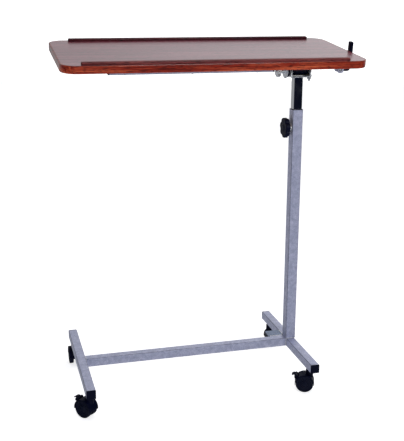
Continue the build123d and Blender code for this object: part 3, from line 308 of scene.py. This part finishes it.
SILVER = silver_paint()
BRIGHT_ZINC = zinc("bright_zinc", (0.80, 0.83, 0.90), spangle=210.0, roughness=0.24, metallic=0.8)
SPANGLED_ZINC = zinc("spangled_zinc", (0.15, 0.19, 0.28), spangle=240.0, roughness=0.30)
WELD_METAL = zinc("weld_metal", (0.93, 0.94, 1.0), spangle=420.0, roughness=0.45, metallic=0.45)
CHROME = chrome()
BLACK = black_plastic("black_plastic", smooth=0.30, rubbed=0.46, grain=0.35)
BLACK_PAINT = black_plastic("black_paint", smooth=0.22, rubbed=0.36, grain=0.12)
TREAD = wheel_plastic()
MAHOGANY = wood(
    "mahogany_edge",
    dark=(0.070, 0.002, 0.001), mid=(0.23, 0.014, 0.003), light=(0.50, 0.090, 0.032),
    coat=0.8, gloss=0.12, roughness=0.45, pore_depth=0.35, strip=True,
)
# Painted light: the front rail's mahogany is the rail wood painted lighter, for the light on its face and top.
LIT_FRONT_RAIL_WOOD = wood(
    "mahogany_front_rail_lit",
    dark=(0.060, 0.007, 0.009), mid=(0.180, 0.034, 0.034), light=(0.340, 0.095, 0.085),
    coat=0.12, gloss=0.10, roughness=0.45, pore_depth=0.25,
)
# Painted shade: the rear rail's mahogany is the same wood painted darker, for the shade on its front face.
SHADED_REAR_RAIL_WOOD = wood(
    "mahogany_rear_rail_shaded",
    dark=(0.022, 0.001, 0.004), mid=(0.070, 0.006, 0.013), light=(0.160, 0.026, 0.034),
    coat=0.12, gloss=0.10, roughness=0.45, pore_depth=0.25,
)
LAMINATE = wood(
    "laminate",
    dark=(0.12, 0.014, 0.028), mid=(0.24, 0.042, 0.070), light=(0.39, 0.110, 0.135),
    coat=1.0, gloss=0.24, roughness=0.30, pore_depth=0.06,
)
CHIPBOARD = chipboard()
RUBBER = rubber()

FINISH_OF_SLOT = {
    "grey_painted_steel": SILVER,
    "zinc_plated_steel": BRIGHT_ZINC,
    "chromed_steel": CHROME,
    "black_painted_steel": BLACK_PAINT,
    "black_plastic": BLACK,
    "wheel_plastic": TREAD,
    "rubber_pad": RUBBER,
    "chipboard": CHIPBOARD,
    "glossy_laminate": LAMINATE,
    "mahogany_stained_wood": MAHOGANY,
}
FINISH_OF_NODE = {
    "corner_gusset": SPANGLED_ZINC,
    # The two book stops take lit and shaded copies of one wood: painted light on the front one, painted shade on
    # the rear one.
    "front_book_stop": LIT_FRONT_RAIL_WOOD,
    "rear_book_stop": SHADED_REAR_RAIL_WOOD,
}


def dress_nodes():
    """Gives every CAD node its finish."""
    for part in frame["record"]["subparts"]:
        node = NODES[part["node"]]
        node.data.materials.clear()
        node.data.materials.append(FINISH_OF_NODE.get(part["node"]) or FINISH_OF_SLOT[part["material_slot"]])


# ---- Mesh helpers ----------------------------------------------------------------------------------------

# Edges that turn more sharply than this stay sharp under smooth shading.
CREASE = math.radians(38)

TURN_SIDES, SCREW_SIDES, THREAD_SIDES, BEAD_SIDES = 64, 28, 32, 10

# A weld bead's radius along its length, as shares of its own: tapered ends, short ripples and a slow wander.
BEAD_STEP, BEAD_TIP, BEAD_BODY = 1.3 * MM, 0.45, 0.9
RIPPLE, RIPPLE_TURN, WANDER, WANDER_TURN = 0.18, 1.05, 0.07, 0.37

# An axis this close to upright takes its side directions from the row's X instead of its Z.
NEARLY_UPRIGHT = 0.9


def linked(name, corners, faces, material):
    """A mesh object in the row frame."""
    mesh = bpy.data.meshes.new(name)
    mesh.from_pydata([tuple(corner) for corner in corners], [], faces)
    mesh.materials.append(material)
    made = bpy.data.objects.new(name, mesh)
    bpy.context.scene.collection.objects.link(made)
    return made


def piece(name, body, material, slot, corners, faces):
    """A smooth-shaded mesh that rides on a CAD body."""
    made = linked(name, corners, faces, material)
    shape = bmesh.new()
    shape.from_mesh(made.data)
    bmesh.ops.recalc_face_normals(shape, faces=shape.faces)
    shape.to_mesh(made.data)
    shape.free()
    made.data.shade_smooth()
    made.data.set_sharp_from_angle(angle=CREASE)
    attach(made, body)
    return made


def square_to(axis):
    """Two directions at right angles to an axis and to each other."""
    axis = axis.normalized()
    helper = UP if abs(axis.z) < NEARLY_UPRIGHT else Vector((1, 0, 0))
    first = axis.cross(helper).normalized()
    return first, axis.cross(first).normalized()


def ring(centre, axis, radius, sides):
    """Corners of a circle round an axis."""
    first, second = square_to(axis)
    angles = [2 * math.pi * i / sides for i in range(sides)]
    return [centre + (first * math.cos(a) + second * math.sin(a)) * radius for a in angles]


def tube_faces(rings, sides):
    """Faces of a solid whose corners come ring by ring, closed at both ends."""
    faces = []
    for near in range(0, (rings - 1) * sides, sides):
        far = near + sides
        for i in range(sides):
            j = (i + 1) % sides
            faces.append((near + i, near + j, far + j, far + i))
    last = (rings - 1) * sides
    faces.append(tuple(range(sides)))
    faces.append(tuple(last + i for i in reversed(range(sides))))
    return faces


def turned(centre, axis, profile, sides=TURN_SIDES):
    """A solid turned about an axis; the profile is (radius, distance along the axis)."""
    axis = axis.normalized()
    corners = []
    for radius, along in profile:
        corners += ring(centre + axis * along, axis, radius, sides)
    return corners, tube_faces(len(profile), sides)


def bead(path, radius, step=BEAD_STEP):
    """A weld bead: a rippled tube along a line of points."""
    points = [path[0]]
    for start, end in zip(path, path[1:]):
        count = max(1, round((end - start).length / step))
        points += [start.lerp(end, (i + 1) / count) for i in range(count)]
    last = len(points) - 1
    corners = []
    for i, point in enumerate(points):
        along = points[min(i + 1, last)] - points[max(i - 1, 0)]
        swell = BEAD_BODY + RIPPLE * abs(math.sin(i * RIPPLE_TURN)) + WANDER * math.sin(i * WANDER_TURN)
        if i in (0, last):
            swell *= BEAD_TIP
        corners += ring(point, along, radius * swell, BEAD_SIDES)
    return corners, tube_faces(len(points), BEAD_SIDES)


def joined(shapes):
    """Several shapes, each (corners, faces), as one."""
    corners, faces = [], []
    for more_corners, more_faces in shapes:
        base = len(corners)
        corners += more_corners
        faces += [tuple(base + i for i in face) for face in more_faces]
    return corners, faces


# ---- Weld beads on the base ------------------------------------------------------------------------------

WELD_R = 1.3 * MM
BAR_FLAT_WELD, COLUMN_SIDE_WELD, BOSS_WELD = 0.7 * WELD_R, 0.8 * WELD_R, 0.8 * WELD_R
BOSS_WELD_POINTS = 48

# How far the beads stop short of a corner, and how far the column's beads stand off the tubes.
BAR_UPRIGHT_GAP, BAR_FLAT_GAP, GUSSET_GAP = 1.0 * MM, 2.0 * MM, 3.0 * MM
COLUMN_FLAT_GAP, COLUMN_SIDE_GAP, COLUMN_WELD_RISE, COLUMN_WELD_OUT = 2.0 * MM, 1.0 * MM, 0.3 * MM, 0.2 * MM


def weld(name, beads):
    """Beads of bare weld metal on the base."""
    piece(name, "base", WELD_METAL, "zinc_plated_steel", *joined(beads))


def bar_welds():
    """Round both ends of the base bar, where it meets the feet."""
    low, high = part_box("base_bar")
    beads = []
    for x in (low.x, high.x):
        for y in (low.y, high.y):
            start = Vector((x, y, low.z + BAR_UPRIGHT_GAP))
            beads.append(bead([start, Vector((x, y, high.z - BAR_UPRIGHT_GAP))], WELD_R))
        for z in (low.z, high.z):
            start = Vector((x, low.y + BAR_FLAT_GAP, z))
            beads.append(bead([start, Vector((x, high.y - BAR_FLAT_GAP, z))], BAR_FLAT_WELD))
    weld("bar_welds", beads)


def column_welds():
    """Round the foot of the column, where it stands on the right foot."""
    foot_low, foot_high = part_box("right_foot")
    low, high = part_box("column_tube")
    beads = []
    for y in (low.y, high.y):
        start = Vector((foot_low.x + COLUMN_FLAT_GAP, y, low.z + COLUMN_WELD_RISE))
        beads.append(bead([start, Vector((foot_high.x - COLUMN_FLAT_GAP, y, start.z))], WELD_R))
    for x in (foot_low.x - COLUMN_WELD_OUT, foot_high.x + COLUMN_WELD_OUT):
        start = Vector((x, low.y + COLUMN_SIDE_GAP, low.z - COLUMN_WELD_RISE))
        beads.append(bead([start, Vector((x, high.y - COLUMN_SIDE_GAP, start.z))], COLUMN_SIDE_WELD))
    weld("column_welds", beads)


def gusset_welds():
    """Along the front and right edges of the gusset, on the bar and the right foot."""
    low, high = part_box("corner_gusset")
    left, right = Vector((low.x + GUSSET_GAP, low.y, high.z)), Vector((high.x - GUSSET_GAP, low.y, high.z))
    front, back = Vector((high.x, low.y + GUSSET_GAP, high.z)), Vector((high.x, high.y - GUSSET_GAP, high.z))
    weld("gusset_welds", [bead([left, right], WELD_R), bead([front, back], WELD_R)])


def boss_weld():
    """Round the knob's threaded boss, on the column."""
    low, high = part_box("lock_boss")
    radius = (high.z - low.z) / 2
    middle = (low + high) / 2
    angles = [2 * math.pi * i / BOSS_WELD_POINTS for i in range(BOSS_WELD_POINTS)]
    offsets = [(radius * math.sin(a), radius * math.cos(a)) for a in angles]
    around = [Vector((high.x, middle.y + across, middle.z + rise)) for across, rise in offsets]
    weld("boss_weld", [bead(around + around[:1], BOSS_WELD)])


# ---- Caster wheels ---------------------------------------------------------------------------------------

# The tread's two edges are rounded.
WHEEL_EDGE_R, WHEEL_EDGE_STEPS = 1.8 * MM, 5

# The recess in the inner face: (share of the wheel's radius, depth).
WHEEL_RECESS = ((0.6, 5.0 * MM), (0.82, 4.5 * MM), (0.83, 0.0))

# Two grooves round the tread: their places across it, and their profile as (distance across, depth).
WHEEL_GROOVES = (-2.2 * MM, 2.2 * MM)
GROOVE_PROFILE = ((-0.5 * MM, 0.0), (-0.2 * MM, 0.45 * MM), (0.2 * MM, 0.45 * MM), (0.5 * MM, 0.0))

# The outer face: its rim as (distance in from the tread, depth), then its domed cap as (radius, depth).
WHEEL_RIM = ((4.4 * MM, 0.1 * MM), (5.0 * MM, 1.7 * MM))
WHEEL_CAP = (
    (9.6 * MM, 2.3 * MM), (8.9 * MM, 0.6 * MM), (8.2 * MM, 0.1 * MM), (7.2 * MM, 0.3 * MM),
    (6.9 * MM, 0.9 * MM), (6.3 * MM, 0.9 * MM), (5.9 * MM, 0.2 * MM), (3.0 * MM, 0.02 * MM),
    (0.3 * MM, 0.0),
)

# Ribs across the outer face: depths of their root and top, and where they start and stop.
RIB_COUNT, RIB_HALF_WIDTH, RIB_ROOT, RIB_TOP = 6, 0.75 * MM, 2.5 * MM, 0.9 * MM
RIB_START, RIB_STOP = 9.0 * MM, 4.7 * MM
RIB_FACES = [(0, 1, 3, 2), (4, 6, 7, 5), (0, 4, 5, 1), (2, 3, 7, 6), (0, 2, 6, 4), (1, 5, 7, 3)]


def wheel(caster, side):
    """A caster wheel: grooved tread, dished face with ribs and a domed centre cap."""
    node = f"{caster}_wheel_{side}"
    joint = JOINTS[f"{caster}_spin_{side}"]
    centre = Vector(joint["pos_m"])
    axis = Vector(joint["axis"]).normalized() * (-1 if side == "left" else 1)
    along = [(vertex.co - centre).dot(axis) for vertex in NODES[node].data.vertices]
    inner, outer = min(along), max(along)
    middle = (inner + outer) / 2
    low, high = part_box(node)
    radius = (high.z - low.z) / 2
    angles = [math.radians(90 * i / WHEEL_EDGE_STEPS) for i in range(WHEEL_EDGE_STEPS + 1)]
    edge = [(WHEEL_EDGE_R * (1 - math.sin(a)), WHEEL_EDGE_R * (1 - math.cos(a))) for a in angles]
    profile = [(share * radius, inner + depth) for share, depth in WHEEL_RECESS]
    profile += [(radius - inwards, inner + depth) for inwards, depth in edge]
    for groove in WHEEL_GROOVES:
        profile += [(radius - depth, middle + groove + across) for across, depth in GROOVE_PROFILE]
    profile += [(radius - inwards, outer - depth) for inwards, depth in reversed(edge)]
    profile += [(radius - inwards, outer - depth) for inwards, depth in WHEEL_RIM]
    profile += [(cap_radius, outer - depth) for cap_radius, depth in WHEEL_CAP]
    shapes = [turned(centre, axis, profile)]
    levels = (axis * (outer - RIB_ROOT), axis * (outer - RIB_TOP))
    for out in ring(Vector(), axis, 1.0, RIB_COUNT):
        across = axis.cross(out) * RIB_HALF_WIDTH
        reaches = (out * RIB_START, out * (radius - RIB_STOP))
        middles = [centre + level + reach for level in levels for reach in reaches]
        shapes.append(([point + swing for point in middles for swing in (across, -across)], RIB_FACES))
    made = piece(f"{node}_tread", node, TREAD, "wheel_plastic", *joined(shapes))
    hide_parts(node)


# ---- Screws, threads, knob and pedals --------------------------------------------------------------------

# Corners of a CAD mesh closer than this are one corner.
SAME_CORNER = 1e-6

# A pan head and the start of its shank, as (radius, rise from its top) in mm; then the shank and its point.
PAN_HEAD = ((1.2, 0.05), (2.4, 0.3), (3.3, 0.85), (3.85, 1.5), (4.0, 2.1), (4.0, 2.4), (2.0, 2.4))
SHANK_R, POINT_R, POINT_LENGTH = 2.0 * MM, 0.6 * MM, 2.0 * MM

# The turned cap on the knob's face, as (radius, height over the face), in mm.
KNOB_CAP = (
    (10.5, -1.0), (10.5, 0.1), (9.9, 0.5), (8.6, 0.6), (8.1, 0.1),
    (7.6, 0.1), (7.1, 0.7), (3.0, 0.95), (0.3, 1.0),
)

# One ridge of a thread: (place along the pitch, share of the core's radius, height over that).
THREAD_RIDGE = ((0.1, 0.99, 0.0), (0.45, 1.0, 0.22 * MM), (0.6, 1.0, 0.22 * MM), (0.95, 0.99, 0.0))
# A thread's first ring, as a share of the core's radius, and how far inside its nut it lies.
THREAD_START, THREAD_INSIDE_NUT = 0.98, 0.2 * MM
PIVOT_CORE_R, PIVOT_PITCH, PIVOT_BARE_END = 5.0 * MM, 0.8 * MM, 1.4 * MM
ANCHOR_CORE_R, ANCHOR_PITCH, ANCHOR_BARE_END = 3.0 * MM, 0.6 * MM, 1.0 * MM

# Grip ribs on a pedal's foot plate: their places out and up from its pin, in mm.
PEDAL_RIBS = ((3.0, 5.2), (5.0, 5.55), (7.0, 5.45), (9.0, 4.85), (11.0, 3.75))
PEDAL_RIB_R, PEDAL_RIB_REACH, PEDAL_RIB_STEP = 0.5 * MM, 6.2 * MM, 6.0 * MM


def islands(node):
    """The vertices of each separate solid in a CAD node."""
    shape = bmesh.new()
    shape.from_mesh(NODES[node].data)
    bmesh.ops.remove_doubles(shape, verts=shape.verts, dist=SAME_CORNER)
    found, seen = [], set()
    for start in shape.verts:
        if start in seen:
            continue
        waiting, group = [start], []
        seen.add(start)
        while waiting:
            corner = waiting.pop()
            group.append(corner.co.copy())
            for edge in corner.link_edges:
                other = edge.other_vert(corner)
                if other not in seen:
                    seen.add(other)
                    waiting.append(other)
        found.append(group)
    shape.free()
    return found


def pan_headed(node):
    """Screws under the top with domed heads, in place of the plain ones."""
    shapes = []
    for group in islands(node):
        heights = [corner.dot(TOP_NORMAL) for corner in group]
        low, high = min(heights), max(heights)
        middle = sum(group, Vector()) / len(group)
        head = middle + TOP_NORMAL * (low - middle.dot(TOP_NORMAL))
        profile = [(radius * MM, rise * MM) for radius, rise in PAN_HEAD]
        profile += [(SHANK_R, high - low - POINT_LENGTH), (POINT_R, high - low)]
        shapes.append(turned(head, TOP_NORMAL, profile, SCREW_SIDES))
    made = piece(f"{node}_pan_heads", "top", BRIGHT_ZINC, "zinc_plated_steel", *joined(shapes))
    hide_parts(node)


def knob_cap():
    """Turned cap with a ring groove in the middle of the height knob."""
    low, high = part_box("height_knob")
    middle = (low + high) / 2
    face = Vector((low.x, middle.y, middle.z))
    profile = [(radius * MM, height * MM) for radius, height in KNOB_CAP]
    piece("knob_cap", "knob", BLACK, "black_plastic", *turned(face, LEFT, profile))


def thread(name, start, axis, length, core, pitch):
    """Screw thread on the bare end of a bolt in the mast's clamp: ridges that swell out of the shank."""
    profile = [(THREAD_START * core, 0.0)]
    for i in range(round(length / pitch)):
        profile += [(share * core + height, (i + place) * pitch) for place, share, height in THREAD_RIDGE]
    piece(name, "mast", BRIGHT_ZINC, "zinc_plated_steel", *turned(start, axis, profile, THREAD_SIDES))


def bolt_threads():
    """Threads on the pivot bolt's end past its nut, and on the anchor bolt's tail below its nut."""
    bolt_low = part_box("pivot_bolt")[0]
    nut_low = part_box("tension_nut")[0]
    pivot = Vector(JOINTS["top_tilt"]["pos_m"])
    start = Vector((nut_low.x - THREAD_INSIDE_NUT, pivot.y, pivot.z))
    length = nut_low.x - bolt_low.x - PIVOT_BARE_END
    thread("pivot_bolt_thread", start, LEFT, length, PIVOT_CORE_R, PIVOT_PITCH)
    tail_low, tail_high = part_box("anchor_bolt")
    anchor_nut_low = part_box("anchor_nut")[0]
    middle = (tail_low + tail_high) / 2
    start = Vector((middle.x, middle.y, anchor_nut_low.z - THREAD_INSIDE_NUT))
    length = anchor_nut_low.z - tail_low.z - ANCHOR_BARE_END
    thread("anchor_bolt_thread", start, DOWN, length, ANCHOR_CORE_R, ANCHOR_PITCH)


def pedal_ribs(caster):
    """Grip ribs across the top of a brake pedal's foot plate."""
    pin = Vector(JOINTS[f"{caster}_brake"]["pos_m"])
    stem = Vector(JOINTS[f"{caster}_swivel"]["pos_m"])
    axle = Vector(JOINTS[f"{caster}_brake"]["axis"]).normalized()
    trail = axle.cross(UP).normalized()
    if trail.dot(pin - stem) < 0:
        trail = -trail
    reach = axle * PEDAL_RIB_REACH
    middles = [pin + trail * (out * MM) + UP * (rise * MM) for out, rise in PEDAL_RIBS]
    ribs = [bead([middle - reach, middle + reach], PEDAL_RIB_R, PEDAL_RIB_STEP) for middle in middles]
    piece(f"{caster}_pedal_ribs", f"{caster}_pedal", BLACK, "black_plastic", *joined(ribs))


# ---- Stage, light and camera -----------------------------------------------------------------------------

STAGE_REACH, STAGE_SIDES, SURROUND_HEIGHT = 8.6, 64, 9.0
FLOOR_Z = -0.0002
FLOOR_GLOW, SURROUND_GLOW = 0.72, 1.0
STAGE_GREY = ((0.3, 0.80), (0.7, 0.83))
SURROUND_WHITE = ((0.3, 0.97), (0.7, 1.0))

# Room brightness against direction, as (from, to, low, high): behind the table, over it, to its right,
# overhead, and low in front, where the frame's front faces would mirror the floor.
BEHIND = (-0.15, 0.75, 0.0, 1.0)
ABOVE = (-0.4, 0.3, 0.42, 0.48)
HIGHER = (0.33, 0.45, 0.0, 0.65)
RIGHTWARDS = (0.0, 0.45, 0.75, 1.35)
CEILING = (0.55, 1.0, 0.0, 0.12)
BELOW = (-0.33, -0.43, 0.0, 0.6)
FRONTWARDS = (0.0, -0.5, 0.0, 1.0)
ROOM_DARK = 0.012

# The room's colour where it is dim, and from this brightness up.
DIM_TINT, GLOW_TINT, GLOW_FROM = (0.25, 0.35, 1.0, 1.0), (0.97, 0.98, 1.0, 1.0), 0.3

LIT_POINT = (0, 0, 0.5)
KEY_PLACE, KEY_SIZE, KEY_POWER, KEY_COLOUR = (0.9, -3.6, 2.3), 1.2, 64.0, (0.97, 0.98, 1.0)
OVERHEAD_PLACE, OVERHEAD_SIZE, OVERHEAD_POWER, OVERHEAD_COLOUR = (0.0, 0.2, 3.4), 3.0, 24.0, (1.0, 1.0, 1.0)

# The camera's place in metres, its angles in degrees and its lens in mm.
EYE = Vector((-0.6020, -2.1822, 1.0899))
HEADING, DOWNWARDS, ROLL, LENS = 15.02, 15.29, 0.25, 68.27


def stage_circle(z):
    """Points round the edge of the stage."""
    angles = [2 * math.pi * i / STAGE_SIDES for i in range(STAGE_SIDES)]
    return [(STAGE_REACH * math.cos(a), STAGE_REACH * math.sin(a), z) for a in angles]


def ground():
    """Pale paper floor; it lights the table softly from below, and isn't mirrored."""
    f = Finish("floor_paper", Roughness=0.9, Emission_Strength=FLOOR_GLOW, Specular_IOR_Level=0.1)
    f.surface.inputs["Emission Color"].default_value = (1.0, 1.0, 1.0, 1.0)
    paper = f.done(f.ramp(f.noise(f.place, scale=3.0, detail=3.0), *STAGE_GREY))
    made = linked("floor", stage_circle(FLOOR_Z), [tuple(range(STAGE_SIDES))], paper)
    made.visible_glossy = False


def surround():
    """White cloth hung all round, seen past the floor from any side; it doesn't light or shade the table."""
    f = Finish("surround_cloth", Roughness=0.9, Emission_Strength=SURROUND_GLOW, Specular_IOR_Level=0.1)
    weave = f.noise(f.place, scale=2.0, detail=3.0)
    f.tree.links.new(f.ramp(weave, *SURROUND_WHITE), f.surface.inputs["Emission Color"])
    cloth = f.done(f.ramp(weave, *STAGE_GREY))
    corners = stage_circle(-SURROUND_HEIGHT) + stage_circle(SURROUND_HEIGHT)
    faces = []
    for i in range(STAGE_SIDES):
        j = (i + 1) % STAGE_SIDES
        faces.append((i, j, STAGE_SIDES + j, STAGE_SIDES + i))
    made = linked("surround", corners, faces, cloth)
    made.visible_glossy = made.visible_diffuse = made.visible_shadow = made.visible_transmission = False


def room():
    """The studio round the table: bright behind and above, brighter to the right, dim behind the camera."""
    world = bpy.data.worlds.new("room")
    world.use_nodes = True
    nodes, links = world.node_tree.nodes, world.node_tree.links

    def maths(operation, first, second):
        node = nodes.new("ShaderNodeMath")
        node.operation = operation
        for socket, value in zip(node.inputs, (first, second)):
            if isinstance(value, bpy.types.NodeSocket):
                links.new(value, socket)
            else:
                socket.default_value = value
        return node.outputs[0]

    def eased(value, start, end, low, high):
        node = nodes.new("ShaderNodeMapRange")
        node.interpolation_type = "SMOOTHSTEP"
        for index, number in enumerate((start, end, low, high), 1):
            node.inputs[index].default_value = number
        links.new(value, node.inputs[0])
        return node.outputs[0]

    split = nodes.new("ShaderNodeSeparateXYZ")
    links.new(nodes.new("ShaderNodeTexCoord").outputs["Generated"], split.inputs[0])
    x, y, z = split.outputs
    above = maths("ADD", eased(z, *ABOVE), eased(z, *HIGHER))
    backdrop = maths("MULTIPLY", maths("MULTIPLY", eased(y, *BEHIND), above), eased(x, *RIGHTWARDS))
    near_floor = maths("MULTIPLY", eased(z, *BELOW), eased(y, *FRONTWARDS))
    glow = maths("ADD", maths("ADD", backdrop, near_floor), eased(z, *CEILING))
    strength = maths("ADD", glow, ROOM_DARK)
    tint = nodes.new("ShaderNodeValToRGB")
    dim, bright = tint.color_ramp.elements
    dim.color = DIM_TINT
    bright.color = GLOW_TINT
    bright.position = GLOW_FROM
    links.new(strength, tint.inputs[0])
    links.new(tint.outputs[0], nodes["Background"].inputs[0])
    links.new(strength, nodes["Background"].inputs[1])
    bpy.context.scene.world = world


def softbox(name, place, size, power, colour):
    """Square area light aimed at the table."""
    data = bpy.data.lights.new(name, "AREA")
    data.shape = "RECTANGLE"
    data.size = data.size_y = size
    data.energy = power
    data.color = colour
    made = bpy.data.objects.new(name, data)
    made.location = place
    made.rotation_mode = "QUATERNION"
    made.rotation_quaternion = (Vector(LIT_POINT) - Vector(place)).to_track_quat("-Z", "Y")
    bpy.context.scene.collection.objects.link(made)


def studio():
    """The room, a soft key light by the camera and an overhead softbox."""
    room()
    softbox("key", KEY_PLACE, KEY_SIZE, KEY_POWER, KEY_COLOUR)
    softbox("overhead", OVERHEAD_PLACE, OVERHEAD_SIZE, OVERHEAD_POWER, OVERHEAD_COLOUR)
    bpy.context.scene.view_settings.view_transform = "Standard"


def camera():
    """The viewing angle: from the front left, a little above the table top."""
    heading = Matrix.Rotation(math.radians(-HEADING), 4, "Z")
    tilt = Matrix.Rotation(math.radians(90 - DOWNWARDS), 4, "X")
    data = bpy.data.cameras.new("camera")
    data.lens = LENS
    made = bpy.data.objects.new("camera", data)
    made.matrix_world = Matrix.Translation(EYE) @ heading @ tilt @ Matrix.Rotation(math.radians(ROLL), 4, "Z")
    bpy.context.scene.collection.objects.link(made)
    bpy.context.scene.camera = made


dress_nodes()
bar_welds()
column_welds()
gusset_welds()
boss_weld()
for caster_name in BRAKED_CASTERS + PLAIN_CASTERS:
    for wheel_side in ("left", "right"):
        wheel(caster_name, wheel_side)
for screw_node in ("hub_screws", "stiffener_screws", "bracket_screws"):
    pan_headed(screw_node)
knob_cap()
bolt_threads()
for caster_name in BRAKED_CASTERS:
    pedal_ribs(caster_name)
ground()
surround()
studio()
camera()
